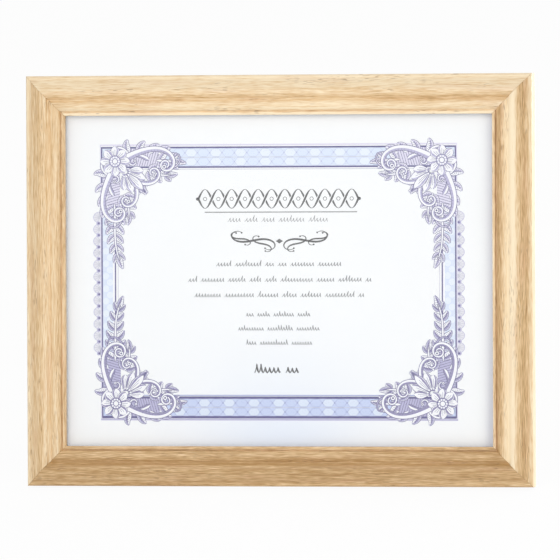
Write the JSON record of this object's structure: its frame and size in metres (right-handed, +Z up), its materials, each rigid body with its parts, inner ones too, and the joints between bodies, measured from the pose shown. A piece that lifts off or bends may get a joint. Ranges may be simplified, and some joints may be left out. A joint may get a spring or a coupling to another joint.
{
  "type": "certificate frame",
  "caption": "Landscape photo or certificate frame with mitred oak-look mouldings, a clear pane, a bordered print, a backing board and a hinged easel leg.",
  "frame": {"origin": "middle of the back bottom edge, the edge that the frame stands on", "axes": "+X to the right seen from the front, +Z up, +Y away from the viewer, to the side that the easel leg stands on"},
  "size_m": [0.32, 0.1186, 0.2512],
  "materials": {
    "oak_moulding": "light oak look along each rail, satin",
    "blue_steel": "dark hardened strip",
    "clear_glazing": "clear and flat",
    "printed_paper": "white sheet with a violet and pale blue border",
    "grey_board": "plain grey board",
    "hardboard": "smooth brown hardboard",
    "zinc_steel": "bright zinc plate",
    "brass_plated_steel": "yellow passivated plate"
  },
  "bodies": {
    "frame": {"bottom_rail": "oak_moulding", "left_rail": "oak_moulding", "top_rail": "oak_moulding", "right_rail": "oak_moulding", "corner_v_nails": "blue_steel", "glazing_sheet": "clear_glazing", "certificate_insert": "printed_paper", "filler_board": "grey_board", "backing_board": "hardboard", "turn_button_screws": "brass_plated_steel", "hanger_landscape": "zinc_steel", "hanger_portrait": "zinc_steel", "hanger_nails": "brass_plated_steel", "easel_hinge_fixed_leaf": "zinc_steel", "easel_hinge_pin": "zinc_steel", "board_rivets": "brass_plated_steel"},
    "easel": {"easel_leg": "hardboard", "easel_hinge_moving_leaf": "zinc_steel", "leg_rivets": "brass_plated_steel"},
    "button_bottom_1": {"turn_button_bottom_1": "zinc_steel"},
    "button_bottom_2": {"turn_button_bottom_2": "zinc_steel"},
    "button_left_1": {"turn_button_left_1": "zinc_steel"},
    "button_top_1": {"turn_button_top_1": "zinc_steel"},
    "button_top_2": {"turn_button_top_2": "zinc_steel"},
    "button_right_1": {"turn_button_right_1": "zinc_steel"}
  },
  "joints": [
    {"name": "easel_hinge", "type": "hinge", "parent": "frame", "child": "easel", "pos_m": [-0.0301, 0.03853, 0.14504], "axis": [-0.766, 0.1555, 0.6237], "range_deg": [0, 30]},
    {"name": "button_turn_bottom_1", "type": "hinge", "parent": "frame", "child": "button_bottom_1", "pos_m": [0.0864, 0.00334, 0.01339], "axis": [0, 0.9703, -0.2419], "continuous": true},
    {"name": "button_turn_bottom_2", "type": "hinge", "parent": "frame", "child": "button_bottom_2", "pos_m": [-0.0864, 0.00334, 0.01339], "axis": [0, 0.9703, -0.2419], "continuous": true},
    {"name": "button_turn_left_1", "type": "hinge", "parent": "frame", "child": "button_left_1", "pos_m": [-0.1462, 0.01551, 0.06222], "axis": [0, 0.9703, -0.2419], "continuous": true},
    {"name": "button_turn_top_1", "type": "hinge", "parent": "frame", "child": "button_top_1", "pos_m": [-0.0864, 0.05871, 0.23549], "axis": [0, 0.9703, -0.2419], "continuous": true},
    {"name": "button_turn_top_2", "type": "hinge", "parent": "frame", "child": "button_top_2", "pos_m": [0.0864, 0.05871, 0.23549], "axis": [0, 0.9703, -0.2419], "continuous": true},
    {"name": "button_turn_right_1", "type": "hinge", "parent": "frame", "child": "button_right_1", "pos_m": [0.1462, 0.01551, 0.06222], "axis": [0, 0.9703, -0.2419], "continuous": true}
  ]
}
